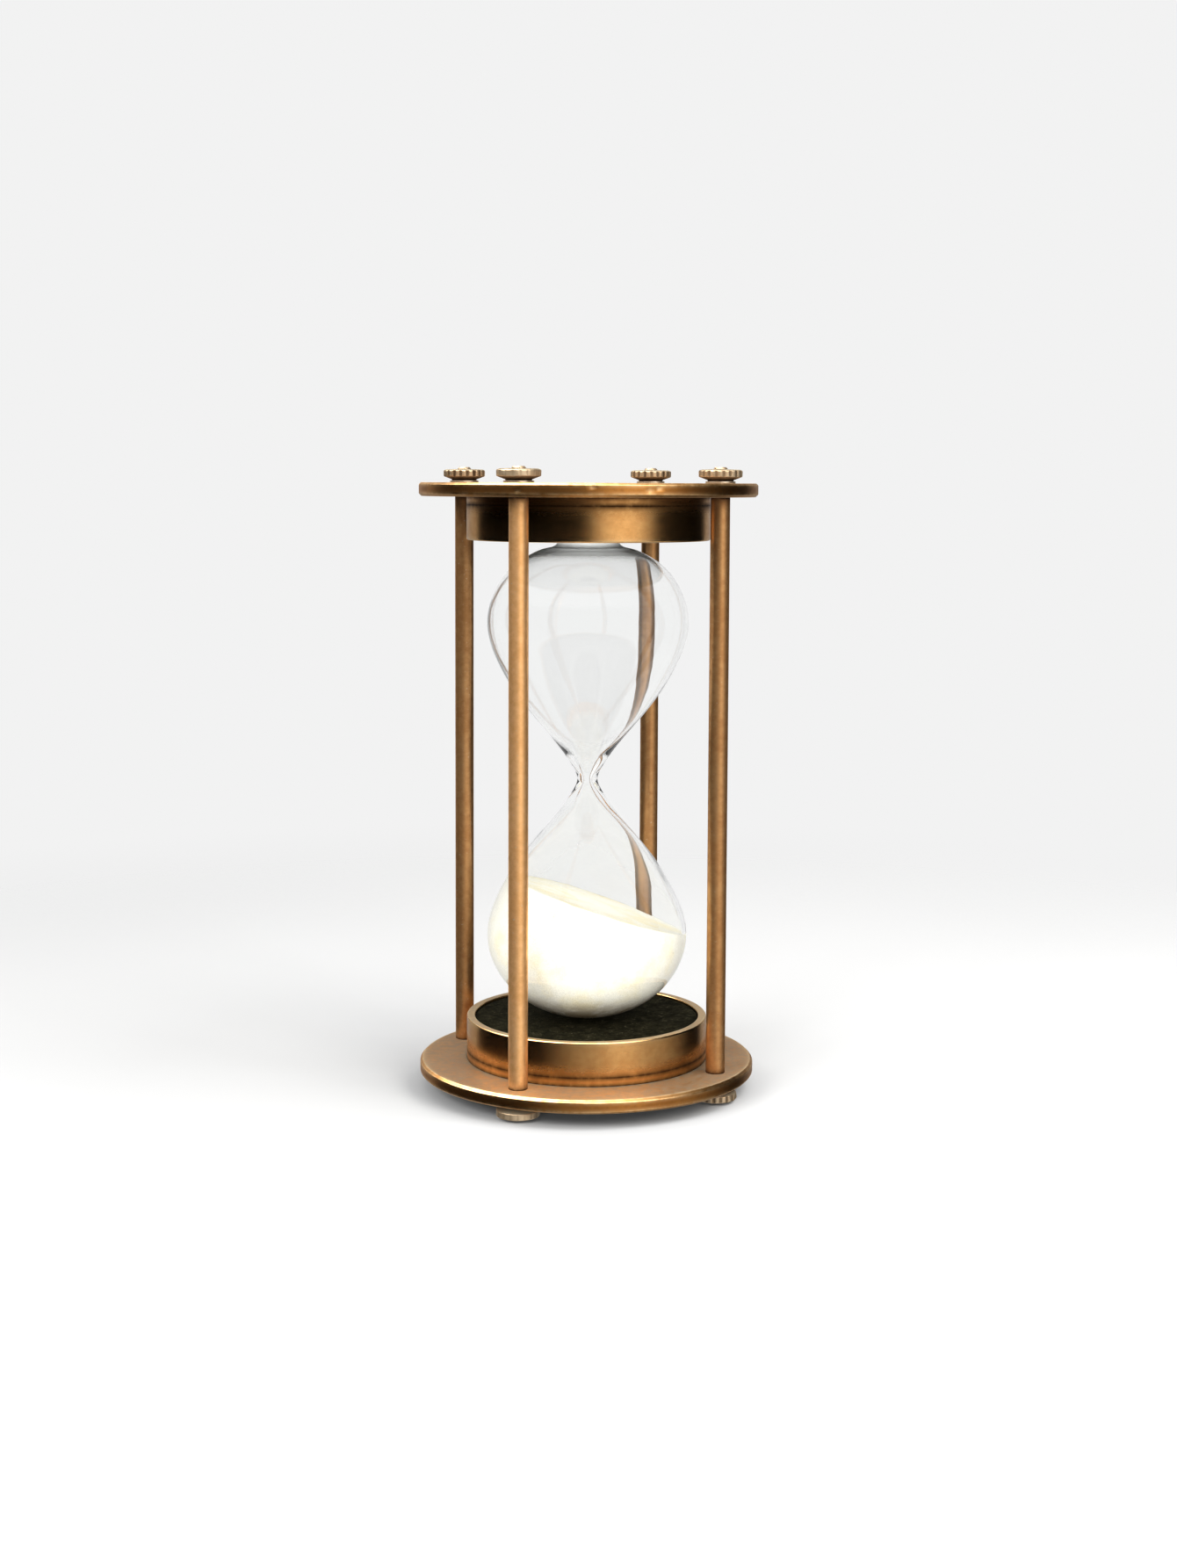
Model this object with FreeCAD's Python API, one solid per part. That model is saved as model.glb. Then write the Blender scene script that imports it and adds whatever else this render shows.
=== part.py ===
"""Four-pillar brass hourglass, 185 mm tall.

Two round brass plates are held apart by four shouldered rods. The rods' threaded ends pass through the
plates, and a washer and a knurled thumb nut clamp each end. A brass collar stands on the inner face of each
plate and holds a cork disc faced with felt. The one-piece blown glass, two bulbs joined by a narrow neck,
is squeezed between the two felts. The lower bulb holds the sand, and a rubber plug closes its filling hole.

Frame: millimetres, +Z up along the glass's axis, origin at the centre of the plane the hourglass stands on,
front towards -Y. Both ends are alike, so each end's pieces are made once, in a frame with z = 0 on the
plate's inner face and +z outwards, and then placed at the top and at the bottom.
"""

import FreeCAD, Part
import math
import os
from FreeCAD import Vector

os.makedirs("parts", exist_ok=True)

# ---------------------------------------------------------------- driving dimensions, mm
PLATE_RADIUS = 50.0
PLATE_THICKNESS = 4.0
PLATE_EDGE = 0.8  # bevel on both edges of a plate's rim
PLATE_HOLE_RADIUS = 2.15  # clearance hole for a rod's threaded end
PILLAR_CIRCLE_RADIUS = 42.5
PILLAR_LENGTH = 168.0  # between the two plates
PILLAR_RADIUS = 2.8
PILLAR_EDGE = 0.2
STUD_RADIUS = 2.0  # the threaded end of a rod, over its crests
STUD_PROUD = 0.6  # how far a stud stands out of its nut
STUD_CHAMFER = 0.4
COLLAR_RADIUS = 36.0
COLLAR_WALL = 2.5
COLLAR_HEIGHT = 12.8
COLLAR_SEAT = 0.5  # depth of the ring groove that locates a collar in its plate
COLLAR_EDGE = 0.4
COLLAR_SEAT_GAP = 0.05
FELT_RECESS = 0.4  # the felt's face lies this far inside the collar's rim
FELT_THICKNESS = 2.0
FELT_DENT = 0.3  # how deep the glass presses into the felt
FELT_DENT_RADIUS = 9.5
DISC_GAP = 0.1  # between a cork or felt disc and the collar round it
WASHER_RADIUS = 4.3
WASHER_THICKNESS = 0.6
WASHER_EDGE = 0.12
NUT_HEIGHT = 3.4
NUT_BORE_RADIUS = 2.05  # minor clearance left round the stud
NUT_RIM_RADIUS = 6.35
NUT_WAIST_RADIUS = 3.7
SCALLOPS = 18  # flutes round a nut's rim
SCALLOP_RADIUS = 0.8
SCALLOP_CENTRE_RADIUS = 6.73
GLASS_STUB_RADIUS = 8.7  # the short stub on the upper end of the glass, where it was blown
GLASS_FLAT_RADIUS = 4.0  # ground flat on the lower end, and the flat ends of the hollow inside
GLASS_END_WALL = 2.6
NECK_RADIUS = 3.0
NECK_BORE_RADIUS = 0.8
FILL_HOLE_RADIUS = 3.0
PLUG_LENGTH = 4.0
PLUG_GAP = 0.03
SAND_GAP = 0.15  # between the sand block and the glass or the plug
SAND_LEVEL = 55.6  # height of the sand's sloping top where it crosses the axis
SAND_SLOPE = 18.8  # degrees
SAND_SLOPE_TOWARDS = -5.0  # degrees from +X, the way the sand's top runs downhill

# ---------------------------------------------------------------- sizes that follow
STACK = PLATE_THICKNESS + WASHER_THICKNESS + NUT_HEIGHT + STUD_PROUD
HEIGHT = PILLAR_LENGTH + 2 * STACK
MIDDLE = HEIGHT / 2
FELT_FACE = COLLAR_HEIGHT - FELT_RECESS
CORK_THICKNESS = FELT_FACE - FELT_THICKNESS
DISC_RADIUS = COLLAR_RADIUS - COLLAR_WALL - DISC_GAP
BULB_LENGTH = PILLAR_LENGTH / 2 - FELT_FACE + FELT_DENT  # from the middle of the neck to a flat end

# Half of the glass's outline, radius and distance from the middle of the neck: the neck, the straight
# cone and the belly at its widest. The upper end goes on to a shoulder with a short stub, and the lower
# end rolls in to its ground flat.
OUTER_OUTLINE = [
    (NECK_RADIUS, 0.0),
    (4.1, 3.1),
    (8.4, 9.5),
    (18.7, 22.0),
    (26.6, 34.7),
    (29.9, 46.8),
    (28.1, 55.2),
    (22.0, 63.8),
]
OUTER_UPPER_END = [(17.2, 66.9), (12.6, 68.7), (9.6, 69.6), (GLASS_STUB_RADIUS, BULB_LENGTH)]
OUTER_LOWER_END = [(13.5, 69.2), (GLASS_FLAT_RADIUS, BULB_LENGTH)]
# The inside of the same half, thick at the neck and at the end, about 1.5 mm thick at the belly.
INNER_OUTLINE = [
    (NECK_BORE_RADIUS, 0.0),
    (1.5, 3.1),
    (5.9, 9.5),
    (16.7, 22.0),
    (24.9, 34.9),
    (28.4, 46.8),
    (26.7, 54.6),
    (20.9, 62.7),
    (16.4, 65.7),
    (12.0, 67.4),
    (8.0, 68.6),
    (GLASS_FLAT_RADIUS, BULB_LENGTH - GLASS_END_WALL),
]

QUARTERS = {
    "front_left": (-1, -1),
    "front_right": (1, -1),
    "back_right": (1, 1),
    "back_left": (-1, 1),
}


# ---------------------------------------------------------------- small tools
def ring(outer, inner, low, high):
    """A plain round ring between two heights; inner 0 gives a disc."""
    body = Part.makeCylinder(outer, high - low, Vector(0, 0, low))
    if inner > 0:
        body = body.cut(Part.makeCylinder(inner, high - low, Vector(0, 0, low)))
    return body


def lathe(outline):
    """The solid that a closed outline of (radius, height) points makes when it turns about Z."""
    points = [Vector(radius, 0, height) for radius, height in outline]
    face = Part.Face(Part.makePolygon(points + points[:1]))
    return face.revolve(Vector(0, 0, 0), Vector(0, 0, 1), 360)


def place(shape, end, x=0.0, y=0.0):
    """Moves a piece from the end's own frame to the top or the bottom of the hourglass."""
    placed = shape.copy()
    if end == "top":
        placed.translate(Vector(x, y, HEIGHT - STACK))
    else:
        placed.rotate(Vector(0, 0, 0), Vector(1, 0, 0), 180)
        placed.translate(Vector(x, y, STACK))
    return placed


def pillar_place(quarter):
    """Where a pillar stands, as x and y."""
    side, depth = QUARTERS[quarter]
    reach = PILLAR_CIRCLE_RADIUS * math.sqrt(0.5)
    return side * reach, depth * reach


def save(name, shape):
    """Writes one node, after checking that it is made of closed, valid solids."""
    solids = shape.Solids
    if not solids or not all(solid.isValid() and solid.isClosed() for solid in solids):
        raise ValueError(name + " is not a closed solid")
    whole = solids[0] if len(solids) == 1 else Part.makeCompound(solids)
    whole.exportStep("parts/" + name + ".step")
    print(f"{name:34s} {sum(solid.Volume for solid in solids) / 1000:8.3f} cm3")


# ---------------------------------------------------------------- frame
def plate():
    """A round plate with bevelled edges, four clearance holes and a groove for the collar."""
    rim, thick, edge = PLATE_RADIUS, PLATE_THICKNESS, PLATE_EDGE
    body = lathe([(0, 0), (rim - edge, 0), (rim, edge), (rim, thick - edge), (rim - edge, thick), (0, thick)])
    for quarter in QUARTERS:
        x, y = pillar_place(quarter)
        body = body.cut(Part.makeCylinder(PLATE_HOLE_RADIUS, thick, Vector(x, y, 0)))
    groove_outer = COLLAR_RADIUS + COLLAR_SEAT_GAP
    groove_inner = COLLAR_RADIUS - COLLAR_WALL - COLLAR_SEAT_GAP
    return body.cut(ring(groove_outer, groove_inner, 0, COLLAR_SEAT))


def collar():
    """The ring that holds the felt and the end of the glass; its free edge is lightly bevelled."""
    outer, inner, edge = COLLAR_RADIUS, COLLAR_RADIUS - COLLAR_WALL, COLLAR_EDGE
    low = -COLLAR_HEIGHT
    return lathe(
        [
            (inner, COLLAR_SEAT),
            (outer, COLLAR_SEAT),
            (outer, low + edge),
            (outer - edge, low),
            (inner + edge, low),
            (inner, low + edge),
        ]
    )


def cork_disc():
    """The cork that fills the collar behind the felt."""
    return ring(DISC_RADIUS, 0, -CORK_THICKNESS, 0)


def felt_pad():
    """The felt facing, dented where the glass presses into it."""
    felt = ring(DISC_RADIUS, 0, -FELT_FACE, -CORK_THICKNESS)
    return felt.cut(ring(FELT_DENT_RADIUS, 0, -FELT_FACE, FELT_DENT - FELT_FACE))


def pillar():
    """A solid rod whose ends are turned down to threaded studs; the shoulders bear on the plates."""
    half = PILLAR_LENGTH / 2
    tip = half + STACK
    upper = [
        (PILLAR_RADIUS, half - PILLAR_EDGE),
        (PILLAR_RADIUS - PILLAR_EDGE, half),
        (STUD_RADIUS, half),
        (STUD_RADIUS, tip - STUD_CHAMFER),
        (STUD_RADIUS - STUD_CHAMFER, tip),
        (0, tip),
    ]
    lower = [(radius, -height) for radius, height in reversed(upper)]
    return lathe(lower + upper)


def washer():
    """The plain brass washer under a thumb nut."""
    low, high, edge = PLATE_THICKNESS, PLATE_THICKNESS + WASHER_THICKNESS, WASHER_EDGE
    return lathe(
        [
            (PLATE_HOLE_RADIUS, low),
            (WASHER_RADIUS, low),
            (WASHER_RADIUS, high - edge),
            (WASHER_RADIUS - edge, high),
            (PLATE_HOLE_RADIUS, high),
        ]
    )


def thumb_nut():
    """A thumb nut: a narrow waist flaring to a fluted rim, with a slightly domed crown."""
    seat = PLATE_THICKNESS + WASHER_THICKNESS
    flare_top, rim_low, rim_high, crown_edge = 1.15, 1.45, 2.75, 3.15
    points = {
        "seat": Vector(NUT_WAIST_RADIUS, 0, seat),
        "waist": Vector(NUT_WAIST_RADIUS, 0, seat + 0.3),
        "flare": Vector(4.3, 0, seat + 0.85),
        "flare_end": Vector(5.8, 0, seat + flare_top),
        "rim_low": Vector(NUT_RIM_RADIUS, 0, seat + rim_low),
        "rim_high": Vector(NUT_RIM_RADIUS, 0, seat + rim_high),
        "rim_round": Vector(6.2, 0, seat + 3.0),
        "crown_edge": Vector(5.8, 0, seat + crown_edge),
        "crown": Vector(4.0, 0, seat + 3.34),
        "crown_end": Vector(NUT_BORE_RADIUS, 0, seat + NUT_HEIGHT),
        "bore_low": Vector(NUT_BORE_RADIUS, 0, seat),
    }
    edges = [
        Part.LineSegment(points["bore_low"], points["seat"]),
        Part.LineSegment(points["seat"], points["waist"]),
        Part.Arc(points["waist"], points["flare"], points["flare_end"]),
        Part.LineSegment(points["flare_end"], points["rim_low"]),
        Part.LineSegment(points["rim_low"], points["rim_high"]),
        Part.Arc(points["rim_high"], points["rim_round"], points["crown_edge"]),
        Part.Arc(points["crown_edge"], points["crown"], points["crown_end"]),
        Part.LineSegment(points["crown_end"], points["bore_low"]),
    ]
    outline = Part.Wire([edge.toShape() for edge in edges])
    body = Part.Face(outline).revolve(Vector(0, 0, 0), Vector(0, 0, 1), 360)
    flutes = []
    for number in range(SCALLOPS):
        angle = 2 * math.pi * number / SCALLOPS
        x, y = SCALLOP_CENTRE_RADIUS * math.cos(angle), SCALLOP_CENTRE_RADIUS * math.sin(angle)
        flutes.append(Part.makeCylinder(SCALLOP_RADIUS, NUT_HEIGHT + 1, Vector(x, y, seat - 0.5)))
    return body.cut(Part.makeCompound(flutes))


# ---------------------------------------------------------------- glass and sand
def bulb_side(lower, upper, only_lower=False):
    """The curved edges of the glass's section, through the points of the lower and the upper half's outline.

    They lie on one smooth curve, cut at its points so that each edge turns into one simple face. They run
    from the lower flat end through the neck to the upper one, or stop at the neck.
    """
    below = [Vector(radius, 0, -distance) for radius, distance in reversed(lower)]
    above = [Vector(radius, 0, distance) for radius, distance in upper[1:]]
    side = Part.BSplineCurve()
    side.interpolate(Points=below + above)
    stops = [side.parameter(point) for point in (below if only_lower else below + above)]
    edges = []
    for start, end in zip(stops, stops[1:]):
        edge = side.copy()
        edge.segment(start, end)
        edges.append(edge.toShape())
    return edges


def turned(edges):
    """The solid that the edges of a closed section make about the glass's axis."""
    body = Part.Face(Part.Wire(Part.__sortEdges__(edges))).revolve(Vector(0, 0, 0), Vector(0, 0, 1), 360)
    body.translate(Vector(0, 0, MIDDLE))
    return body


def straight(*points):
    """Straight section edges through points given as (radius, distance from the neck)."""
    corners = [Vector(radius, 0, distance) for radius, distance in points]
    return [Part.LineSegment(a, b).toShape() for a, b in zip(corners, corners[1:])]


def glass_vessel():
    """The blown glass: both bulbs in one piece, hollow, with a filling hole in the lower end."""
    outside, inside = BULB_LENGTH, BULB_LENGTH - GLASS_END_WALL
    return turned(
        straight((FILL_HOLE_RADIUS, -outside), (GLASS_FLAT_RADIUS, -outside))
        + bulb_side(OUTER_OUTLINE + OUTER_LOWER_END, OUTER_OUTLINE + OUTER_UPPER_END)
        + straight((GLASS_STUB_RADIUS, outside), (0, outside), (0, inside), (GLASS_FLAT_RADIUS, inside))
        + bulb_side(INNER_OUTLINE, INNER_OUTLINE)
        + straight((GLASS_FLAT_RADIUS, -inside), (FILL_HOLE_RADIUS, -inside), (FILL_HOLE_RADIUS, -outside))
    )


def fill_plug():
    """The rubber plug in the filling hole, flush with the outside of the glass."""
    radius, low = FILL_HOLE_RADIUS - PLUG_GAP, MIDDLE - BULB_LENGTH
    round_off = 0.5
    return lathe(
        [
            (0, low),
            (radius, low),
            (radius, low + PLUG_LENGTH - round_off),
            (radius - round_off, low + PLUG_LENGTH),
            (0, low + PLUG_LENGTH),
        ]
    )


def sand():
    """The settled sand: the lower bulb's hollow up to a sloping flat top, clear of glass and plug."""
    outline = [(radius - SAND_GAP, distance) for radius, distance in INNER_OUTLINE[:-1]]
    outline.append((GLASS_FLAT_RADIUS, INNER_OUTLINE[-1][1] - SAND_GAP))
    (top_radius, _), (end_radius, end) = outline[0], outline[-1]
    heap = turned(
        straight((end_radius, -end), (0, -end), (0, 0), (top_radius, 0))
        + bulb_side(outline, outline, only_lower=True)
    )
    slope, towards = math.radians(SAND_SLOPE), math.radians(SAND_SLOPE_TOWARDS)
    normal = Vector(
        math.sin(slope) * math.cos(towards), math.sin(slope) * math.sin(towards), math.cos(slope)
    )
    above = Part.makeCylinder(3 * PLATE_RADIUS, HEIGHT, Vector(0, 0, SAND_LEVEL), normal)
    plug_room = Part.makeCylinder(
        FILL_HOLE_RADIUS + SAND_GAP, PLUG_LENGTH + SAND_GAP, Vector(0, 0, MIDDLE - BULB_LENGTH)
    )
    return heap.cut(above).cut(plug_room)


# ---------------------------------------------------------------- the hourglass
for end, place_name in (("top", "upper"), ("bottom", "lower")):
    save(end + "_plate", place(plate(), end))
    save(place_name + "_collar", place(collar(), end))
    save(place_name + "_cork_disc", place(cork_disc(), end))
    save(place_name + "_felt_pad", place(felt_pad(), end))
    for quarter in QUARTERS:
        x, y = pillar_place(quarter)
        save(f"washer_{end}_{quarter}", place(washer(), end, x, y))
        save(f"thumb_nut_{end}_{quarter}", place(thumb_nut(), end, x, y))

for quarter in QUARTERS:
    x, y = pillar_place(quarter)
    rod = pillar()
    rod.translate(Vector(x, y, MIDDLE))
    save("pillar_" + quarter, rod)

save("glass_vessel", glass_vessel())
save("fill_plug", fill_plug())
save("sand", sand())
print(f"height {HEIGHT:.2f} mm, plate diameter {2 * PLATE_RADIUS:.1f} mm")
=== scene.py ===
"""Looks of the four-pillar brass hourglass: finished meshes and procedural materials round the CAD frame.

Everything is in metres, in the CAD frame: +Z up along the glass's axis, front towards -Y. Outlines are
written in millimetres and scaled when their mesh is made. Each turned piece is made about its own axis, and
its object stands on that axis, so that the lathe marks and the grain in its material run round it.
"""

import math
import random

import bpy
import numpy as np
from mathutils import Euler, Matrix, Vector, noise


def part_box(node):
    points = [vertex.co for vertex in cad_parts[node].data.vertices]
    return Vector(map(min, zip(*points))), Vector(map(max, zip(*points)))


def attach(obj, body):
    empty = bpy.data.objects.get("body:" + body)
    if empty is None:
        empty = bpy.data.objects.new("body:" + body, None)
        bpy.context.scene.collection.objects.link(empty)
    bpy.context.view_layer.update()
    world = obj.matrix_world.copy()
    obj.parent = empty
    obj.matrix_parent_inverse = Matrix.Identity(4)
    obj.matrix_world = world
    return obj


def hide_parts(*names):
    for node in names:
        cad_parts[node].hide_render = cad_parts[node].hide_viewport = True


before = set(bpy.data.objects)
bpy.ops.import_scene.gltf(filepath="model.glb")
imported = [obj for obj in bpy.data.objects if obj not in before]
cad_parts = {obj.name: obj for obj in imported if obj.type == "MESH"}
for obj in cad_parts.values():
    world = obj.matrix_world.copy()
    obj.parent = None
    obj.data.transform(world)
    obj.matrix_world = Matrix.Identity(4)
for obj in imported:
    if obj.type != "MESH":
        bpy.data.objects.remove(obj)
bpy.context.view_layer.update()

MM = 0.001
ROOT = "frame"
QUARTERS = ("front_left", "front_right", "back_right", "back_left")

# ---------------------------------------------------------------- places and sizes from the frame, mm
TOP_PLATE = [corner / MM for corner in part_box("top_plate")]
PLATE_RADIUS = TOP_PLATE[1].x
PLATE_INNER = TOP_PLATE[0].z
PLATE_OUTER = TOP_PLATE[1].z
MIDDLE = (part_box("bottom_plate")[0].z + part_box("top_plate")[1].z) / 2 / MM
COLLAR_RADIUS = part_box("upper_collar")[1].x / MM
COLLAR_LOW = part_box("upper_collar")[0].z / MM
COLLAR_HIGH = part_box("upper_collar")[1].z / MM
DISC_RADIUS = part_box("upper_felt_pad")[1].x / MM
FELT_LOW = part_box("upper_felt_pad")[0].z / MM
FELT_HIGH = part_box("upper_felt_pad")[1].z / MM
PILLAR_BOX = [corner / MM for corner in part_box("pillar_front_left")]
PILLAR_RADIUS = (PILLAR_BOX[1].x - PILLAR_BOX[0].x) / 2
PILLAR_TIP = PILLAR_BOX[1].z
PILLAR_REACH = -(PILLAR_BOX[0].x + PILLAR_BOX[1].x) / 2
WASHER_BOX = [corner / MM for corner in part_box("washer_top_front_left")]
NUT_BOX = [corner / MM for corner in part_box("thumb_nut_top_front_left")]

# ---------------------------------------------------------------- sizes that only this script holds, mm
ON_AXIS = 1e-6
COLLAR_WALL = 2.5
GROOVE_DEPTH = 0.45  # of the groove in a plate that the collar stands in
STUD_RADIUS = 2.0
HOLE_RADIUS = 2.15
NUT_WAIST_RADIUS = 3.7
NUT_BORE_RADIUS = 2.05
FLUTES = 18
FLUTE_RADIUS = 0.8
FLUTE_CENTRE_RADIUS = 6.73
CRISPNESS = {"front_left": 0.25, "front_right": 0.8, "back_right": 0.95, "back_left": 0.95}  # of the flutes
DING_RADIUS, DING_DEPTH = 1.1, 0.12
TOP_PLATE_DINGS = [(-106.6, 3.0), (-88.1, 1.9), (-84.9, 2.6), (-131.0, 1.4)]  # degrees, and mm up the rim
FELT_DENT = 0.3
FOOT_RADIUS = 9.4  # how far out the glass presses flat on the felt
FELT_BEVEL = 1.2
SAND_LEVEL = 55.6
SAND_SLOPE = math.radians(18.8)
SAND_SLOPE_TOWARDS = math.radians(-5.0)
SAND_BOTTOM = 23.3
# Painted shade: the sand is browner and darker up to this far above its bottom.
BOTTOM_SHADE_DEPTH = 9  # how far up from the bottom the sand is browner
SAND_CONTACT = 0.08  # how far the sand's skin lies in the glass, so that no air shows between them
PLUG_RADIUS = 3.0
PLUG_TOP = 24.85
PLUG_ROOM = 0.2
OUTER_WAVE, INNER_WAVE = 0.02, 0.05  # how uneven the glass is
STUB_START = 69.0  # past this distance above the neck the glass is ground, not clear
HAZE_START = 65.0  # from here to the stub the blown shoulder gets a little hazy
SHOULDER_HAZE = 0.62

# Half of the glass's outline: radius, and distance from the middle of the neck.
OUTER_OUTLINE = [
    (3.0, 0.0), (4.1, 3.1), (8.4, 9.5), (18.7, 22.0), (26.6, 34.7), (29.9, 46.8), (28.1, 55.2), (22.0, 63.8),
]
OUTER_UPPER_END = [(17.2, 66.9), (12.6, 68.7), (10.2, 69.3), (9.25, 70.1), (9.1, 71.9)]
OUTER_LOWER_END = [(13.5, 69.2), (4.0, 71.9)]
INNER_OUTLINE = [
    (0.9, 0.0), (1.8, 3.1), (6.7, 9.5), (17.3, 22.0), (25.4, 34.9), (28.7, 46.8), (27.0, 54.9),
    (21.1, 63.1), (16.6, 66.1), (12.3, 67.8), (8.0, 68.8), (4.0, 69.3),
]

# ---------------------------------------------------------------- the view
CAMERA_AZIMUTH = math.radians(-17.8)
CAMERA_DISTANCE = 0.648
CAMERA_PITCH = math.radians(5.06)
CAMERA_TRIM = math.radians(-0.018)
CAMERA_ROLL = math.radians(0.23)
CAMERA_LENS = 50.2
CAMERA_SHIFT = -0.0686


def make_camera():
    """The camera, level with the top plate's upper face and tilted a little down."""
    data = bpy.data.cameras.new("camera")
    data.lens = CAMERA_LENS
    data.sensor_width = 36
    data.shift_y = CAMERA_SHIFT
    camera = bpy.data.objects.new("camera", data)
    side = Vector((math.sin(CAMERA_AZIMUTH), -math.cos(CAMERA_AZIMUTH), 0))
    camera.location = side * CAMERA_DISTANCE + Vector((0, 0, PLATE_OUTER * MM))
    level = Euler((math.pi / 2 - CAMERA_PITCH, 0, CAMERA_AZIMUTH + CAMERA_TRIM)).to_matrix()
    camera.rotation_euler = (level @ Matrix.Rotation(CAMERA_ROLL, 3, "Z")).to_euler()
    bpy.context.scene.collection.objects.link(camera)
    bpy.context.scene.camera = camera


make_camera()


# ---------------------------------------------------------------- outlines
class Outline:
    """A lathe outline in millimetres: points with how worn (edges) and how dark with dirt and painted shade
    (hollows) each one is.
    """

    WORN_WIDTH = 0.45
    GRIMY_AND_SHADED_WIDTH = 0.9
    STEP = 1.6
    BESIDE_CORNER = (0.12, 0.35, 0.8)
    SHORTEST_SPLIT = 0.35

    def __init__(self, corners, closed=True, arc_steps=6):
        """corners are (radius, height, fillet radius, kind), with kind "worn", "grimy" or "plain"."""
        self.closed = closed
        self.points, self.marks = [], []
        count = len(corners)
        for index, (radius, height, fillet, kind) in enumerate(corners):
            here = Vector((radius, height))
            if not closed and index in (0, count - 1):
                self._add(here, kind)
                continue
            before, after = Vector(corners[index - 1][:2]), Vector(corners[(index + 1) % count][:2])
            self._corner(before, here, after, fillet, kind, arc_steps)
        self._fill_runs()
        self._spread_marks()

    def _add(self, point, kind):
        self.points.append(point)
        self.marks.append(kind)

    def _corner(self, before, here, after, fillet, kind, arc_steps):
        back, ahead = (before - here).normalized(), (after - here).normalized()
        half = math.acos(max(-1.0, min(1.0, back.dot(ahead)))) / 2
        if fillet <= 0 or half > 1.56:
            self._add(here, kind)
            return
        centre = here + (back + ahead).normalized() * (fillet / math.sin(half))
        start = here + back * (fillet / math.tan(half))
        end = here + ahead * (fillet / math.tan(half))
        first, last = start - centre, end - centre
        turn = math.atan2(first.x * last.y - first.y * last.x, first.dot(last))
        for step in range(arc_steps + 1):
            angle = turn * step / arc_steps
            cosine, sine = math.cos(angle), math.sin(angle)
            arm = Vector((first.x * cosine - first.y * sine, first.x * sine + first.y * cosine))
            self._add(centre + arm, kind)

    def _fill_runs(self):
        """Adds points along the straight runs, close together beside a corner."""
        points, marks = [], []
        count = len(self.points)
        for index in range(count if self.closed else count - 1):
            here, after = self.points[index], self.points[(index + 1) % count]
            points.append(here)
            marks.append(self.marks[index])
            length = (after - here).length
            if length < self.SHORTEST_SPLIT:
                continue
            near = [distance for distance in self.BESIDE_CORNER if distance < length / 2]
            stops = {*near, *(length - distance for distance in near)}
            pieces = int(length / self.STEP)
            stops |= {length * number / (pieces + 1) for number in range(1, pieces + 1)}
            kept = []
            for stop in sorted(stops):
                if not kept or stop - kept[-1] > 0.1:
                    kept.append(stop)
            for stop in kept:
                points.append(here.lerp(after, stop / length))
                marks.append("plain")
        if not self.closed:
            points.append(self.points[-1])
            marks.append(self.marks[-1])
        self.points, self.marks = points, marks

    def _spread_marks(self):
        """Wear, and grime with painted shade, fade with the distance along the outline from where they are
        marked.
        """
        count = len(self.points)
        runs = [0.0]
        for index in range(count):
            runs.append(runs[-1] + (self.points[(index + 1) % count] - self.points[index]).length)
        total = runs[-1]

        def fade(kind, width):
            places = [runs[index] for index in range(count) if self.marks[index] == kind]
            values = []
            for index in range(count):
                gaps = [abs(runs[index] - place) for place in places]
                if self.closed:
                    gaps = [min(gap, total - gap) for gap in gaps]
                values.append(math.exp(-min(gaps) / width) if gaps else 0.0)
            return values

        self.wear = fade("worn", self.WORN_WIDTH)
        self.grime_and_shade = fade("grimy_and_shaded", self.GRIMY_AND_SHADED_WIDTH)


def smooth_curve(points, count):
    """Evenly spaced points on the natural cubic spline through the given points."""
    known = np.array(points, float)
    gaps = np.linalg.norm(np.diff(known, axis=0), axis=1)
    at = np.concatenate([[0], np.cumsum(gaps)])
    size = len(known)
    matrix, right = np.eye(size), np.zeros((size, 2))
    for index in range(1, size - 1):
        before, after = gaps[index - 1], gaps[index]
        matrix[index, index - 1 : index + 2] = before, 2 * (before + after), after
        rise_after = (known[index + 1] - known[index]) / after
        rise_before = (known[index] - known[index - 1]) / before
        right[index] = 6 * (rise_after - rise_before)
    bend = np.linalg.solve(matrix, right)
    places = np.linspace(0, at[-1], count)
    span = np.clip(np.searchsorted(at, places, side="right") - 1, 0, size - 2)
    gap = gaps[span][:, None]
    after = ((places - at[span])[:, None]) / gap
    before = 1 - after
    straight = before * known[span] + after * known[span + 1]
    curved = (before**3 - before) * bend[span] + (after**3 - after) * bend[span + 1]
    return straight + curved * gap**2 / 6


def whole_outline(lower, upper):
    """The outline from the lower end to the upper one, from the two halves that start at the neck."""
    below = [(radius, -distance) for radius, distance in reversed(lower)]
    return below + upper[1:]


# ---------------------------------------------------------------- meshes
def polar(radius, angle, height):
    return (radius * math.cos(angle), radius * math.sin(angle), height)


def angles_round(steps):
    return [2 * math.pi * step / steps for step in range(steps)]


def new_piece(name, vertices, faces, values=None, smooth=True):
    """A mesh object from vertices in millimetres; values are per-vertex numbers that the materials read."""
    mesh = bpy.data.meshes.new(name)
    mesh.from_pydata([tuple(co * MM for co in vertex) for vertex in vertices], [], faces)
    mesh.polygons.foreach_set("use_smooth", [smooth] * len(mesh.polygons))
    for label, numbers in (values or {}).items():
        mesh.attributes.new(label, "FLOAT", "POINT").data.foreach_set("value", numbers)
    mesh.validate()
    piece = bpy.data.objects.new(name, mesh)
    bpy.context.scene.collection.objects.link(piece)
    return piece


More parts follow.
